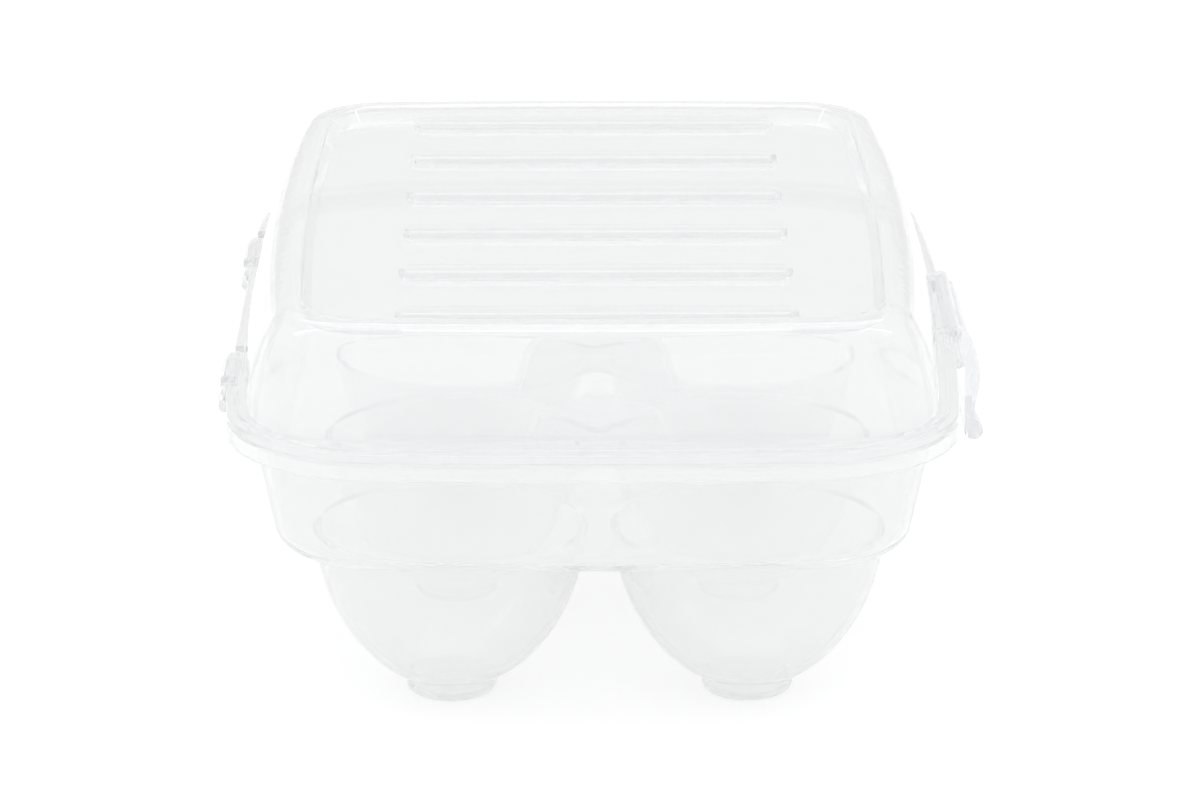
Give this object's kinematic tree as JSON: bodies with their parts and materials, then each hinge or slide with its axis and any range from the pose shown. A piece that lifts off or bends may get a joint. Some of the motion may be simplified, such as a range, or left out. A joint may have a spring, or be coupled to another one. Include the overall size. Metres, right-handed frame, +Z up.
{
  "type": "egg keeper",
  "caption": "Clear plastic egg keeper: tray of two by three cups on round feet, ribbed lid that flips open on two hinges, held by one flap latch.",
  "frame": {"origin": "on the surface that the feet stand on, under the middle of the overall width and length", "axes": "+Z up, +X towards the latch, +Y along the hinge line to the rear"},
  "size_m": [0.131, 0.17, 0.0715],
  "materials": {
    "clear_plastic": "gloss",
    "clear_pin": "gloss"
  },
  "bodies": {
    "tray": {"tray": "clear_plastic", "front_hinge_pin": "clear_pin", "rear_hinge_pin": "clear_pin"},
    "lid": {"lid": "clear_plastic", "latch_pin": "clear_pin"},
    "latch": {"latch_flap": "clear_plastic"}
  },
  "joints": [
    {"name": "lid_hinge", "type": "hinge", "parent": "tray", "child": "lid", "pos_m": [-0.06397, 0, 0.05], "axis": [0, -1, 0], "range_deg": [0, 170]},
    {"name": "latch_hinge", "type": "hinge", "parent": "lid", "child": "latch", "pos_m": [0.05962, 0, 0.05285], "axis": [0, -1, 0], "range_deg": [0, 150]}
  ]
}
